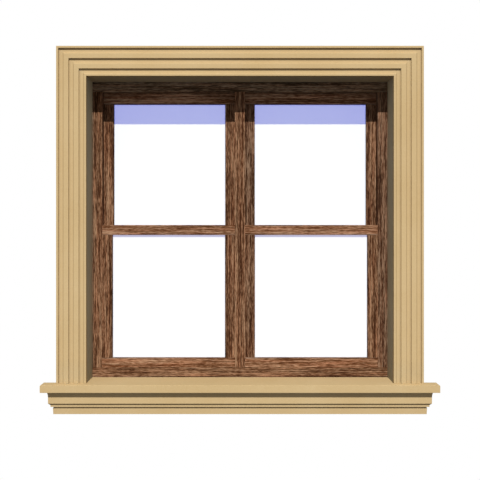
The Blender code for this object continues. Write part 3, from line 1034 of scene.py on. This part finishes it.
def pane_sheet(name, low, high, seed):
    """Closed sheet: a front whose depth is front + ripple (1 + noise) / 2, a flat back and four edges."""
    x = np.linspace(low[0], high[0], PANE_COLUMNS)[None, :]
    z = np.linspace(low[2], high[2], PANE_ROWS)[:, None]
    wave_x, wave_z = x / RIPPLE_LENGTH + LATTICE_SHIFT, z / (2 * RIPPLE_LENGTH) + LATTICE_SHIFT
    wave = lattice_noise(wave_x, wave_z, seed)
    x, z, wave = np.broadcast_arrays(x, z, wave)
    front = np.stack([x, low[1] + RIPPLE * (1 + wave) / 2, z], axis=-1)
    back = np.stack([x, np.full_like(x, high[1]), z], axis=-1)
    count = PANE_ROWS * PANE_COLUMNS
    index = np.arange(count).reshape(PANE_ROWS, PANE_COLUMNS)
    quads = np.stack([index[:-1, :-1], index[:-1, 1:], index[1:, 1:], index[1:, :-1]], axis=-1).reshape(-1, 4)
    rim = np.concatenate([index[0, :-1], index[:-1, -1], index[-1, :0:-1], index[:0:-1, 0]])
    after = np.roll(rim, -1)
    edges = np.stack([rim, rim + count, after + count, after], axis=1)
    mesh = bpy.data.meshes.new(name)
    points = np.concatenate([front.reshape(-1, 3), back.reshape(-1, 3)])
    mesh.from_pydata(points.tolist(), [], quads.tolist() + (quads[:, ::-1] + count).tolist() + edges.tolist())
    mesh.materials.append(upper_glass if "upper" in name else lower_glass)
    sheet = finish_mesh(name, mesh, glass_back, [name.removesuffix("_sheet")])
    not_front = np.arange(len(sheet.data.polygons)) >= len(quads)
    sheet.data.polygons.foreach_set("material_index", not_front.astype(int))
    sheet.visible_diffuse = False
    return sheet


for order, (node_name, (low, high)) in enumerate(sorted(panes.items())):
    pane = pane_sheet(node_name + "_sheet", low, high, FIRST_PANE_SEED + order)
    print("glazed", node_name, len(pane.data.polygons), "faces")

# %% [markdown]
# ## Floor, light and camera
# The piece is shown on white, as in a catalogue. A pale disc stands for the floor, low enough to
# stay out of the main view. It takes shadows, but throws neither shadow nor light on the piece.

# %% Lay the floor
FLOOR_LEVEL = -1.35
FLOOR_RADIUS = 3.0
FLOOR_SIDES = 128
rim = np.linspace(0, 2 * math.pi, FLOOR_SIDES + 1)[:-1]
rim_x, rim_y = FLOOR_RADIUS * np.cos(rim), FLOOR_RADIUS * np.sin(rim)
rim_points = np.stack([rim_x, rim_y, np.full(FLOOR_SIDES, FLOOR_LEVEL)], axis=1)
floor_mesh = bpy.data.meshes.new("studio_floor")
floor_mesh.from_pydata(rim_points.tolist(), [], [list(range(FLOOR_SIDES))])
floor_material, floor_tree, floor_shader = new_material("floor, pale matt", roughness=0.9)
floor_shader.inputs["Base Color"].default_value = (0.52, 0.52, 0.52, 1.0)
floor_mesh.materials.append(floor_material)
studio_floor = bpy.data.objects.new("studio_floor", floor_mesh)
bpy.context.scene.collection.objects.link(studio_floor)
studio_floor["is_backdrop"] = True
studio_floor.visible_diffuse = False
studio_floor.visible_shadow = False
print(f"floor: {2 * FLOOR_RADIUS:.0f} m across, {-FLOOR_LEVEL:.2f} m below the origin")

# %% [markdown]
# One sun stands straight in front and 44 degrees up, which draws the crisp shadows under the head and
# the sill. Its height is measured from how far those shadows reach.

# %% Set the sun
SUN_ELEVATION = math.radians(43.9)
SUN_WIDTH = math.radians(0.4)
SUN_STRENGTH = 3.88
sun_light = bpy.data.lights.new("sun", "SUN")
sun_light.energy = SUN_STRENGTH
sun_light.angle = SUN_WIDTH
sun = bpy.data.objects.new("sun", sun_light)
sun.rotation_euler = (math.pi / 2 - SUN_ELEVATION, 0, 0)
sun.location = (0, -3, 3)
bpy.context.scene.collection.objects.link(sun)
print(f"sun: {math.degrees(SUN_ELEVATION):.1f} degrees up")

# %% [markdown]
# A pale sky, very slightly blue, fills the shadows. It is brightest at the horizon and dim below it.
# The sky looks white to the camera, but sends out less light than that, or the shadows would be
# washed out.

# %% Paint the sky
SKY_STRENGTH = 1.0
SKY_RED, SKY_BLUE = 0.97, 1.06
SKY_LEVELS = [(-1.0, 0.02), (-0.6, 0.07), (-0.25, 0.34), (0.0, 0.56), (0.3, 0.32), (1.0, 0.20)]
SKY_STOPS = [((1 + height) / 2, (SKY_RED * level, level, SKY_BLUE * level, 1))
             for height, level in SKY_LEVELS]
world = bpy.data.worlds.new("white studio")
bpy.context.scene.world = world
world.use_nodes = True
sky = world.node_tree
fill = sky.nodes["Background"]
fill.inputs["Strength"].default_value = SKY_STRENGTH
heading = sky.nodes.new("ShaderNodeTexCoord").outputs["Generated"]
height = sky.nodes.new("ShaderNodeSeparateXYZ")
sky.links.new(heading, height.inputs["Vector"])
share = sky.nodes.new("ShaderNodeMapRange")
share.inputs["From Min"].default_value = -1.0
sky.links.new(height.outputs["Z"], share.inputs["Value"])
sky.links.new(ramp(sky, share.outputs["Result"], SKY_STOPS), fill.inputs["Color"])
white = sky.nodes.new("ShaderNodeBackground")
white.inputs["Color"].default_value = (1, 1, 1, 1)
white.inputs["Strength"].default_value = 1.0
path = sky.nodes.new("ShaderNodeLightPath")
choice = sky.nodes.new("ShaderNodeMixShader")
sky.links.new(path.outputs["Is Camera Ray"], choice.inputs["Fac"])
sky.links.new(fill.outputs["Background"], choice.inputs[1])
sky.links.new(white.outputs["Background"], choice.inputs[2])
sky.links.new(choice.outputs["Shader"], sky.nodes["World Output"].inputs["Surface"])
bpy.context.scene.view_settings.view_transform = "Standard"
print("sky:", len(SKY_STOPS), "levels from straight down to straight up")

# %% [markdown]
# The camera stands level, straight in front, with its eye a little under the middle of the window. The
# picture's horizon lies 12 pixels above its middle, so the lens is shifted down by that much and not
# tilted: all uprights stay upright. How fast the reveal narrows gives its depth only as a share of the
# distance, so the lens is taken as an ordinary one that sees 35 degrees, and the distance follows.

# %% Set the camera
PICTURE = 480
SENSOR = 36.0
FOCAL_PIXELS = 761.2
HORIZON_ROW = 228.0
MIDDLE_COLUMN = 239.98
EYE_OVER_SILL = 0.6067
EYE_TO_WALL = 2.989
camera_data = bpy.data.cameras.new("camera")
camera_data.sensor_width = SENSOR
camera_data.lens = SENSOR * FOCAL_PIXELS / PICTURE
camera_data.shift_x = (PICTURE / 2 - MIDDLE_COLUMN) / PICTURE
camera_data.shift_y = (HORIZON_ROW - PICTURE / 2) / PICTURE
camera = bpy.data.objects.new("camera", camera_data)
camera.location = (0, -EYE_TO_WALL, sill_top + EYE_OVER_SILL)
camera.rotation_euler = (math.pi / 2, 0, 0)
bpy.context.scene.collection.objects.link(camera)
bpy.context.scene.camera = camera
print(f"camera: lens {camera_data.lens:.2f} mm, eye at {tuple(round(v, 4) for v in camera.location)}")

# %% [markdown]
# ## The two boxes
# The imported model's box and the dressed model's box are compared, and their difference is printed:
# the finish may never change the object's size.

# %% Compare both boxes and finish
dressed_low, dressed_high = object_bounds()
growth = [round(1000 * (a - b), 2) for a, b in zip((*dressed_low, *dressed_high), (*cad_low, *cad_high))]
print("box of the dressed model less the packed one, in mm:", growth)
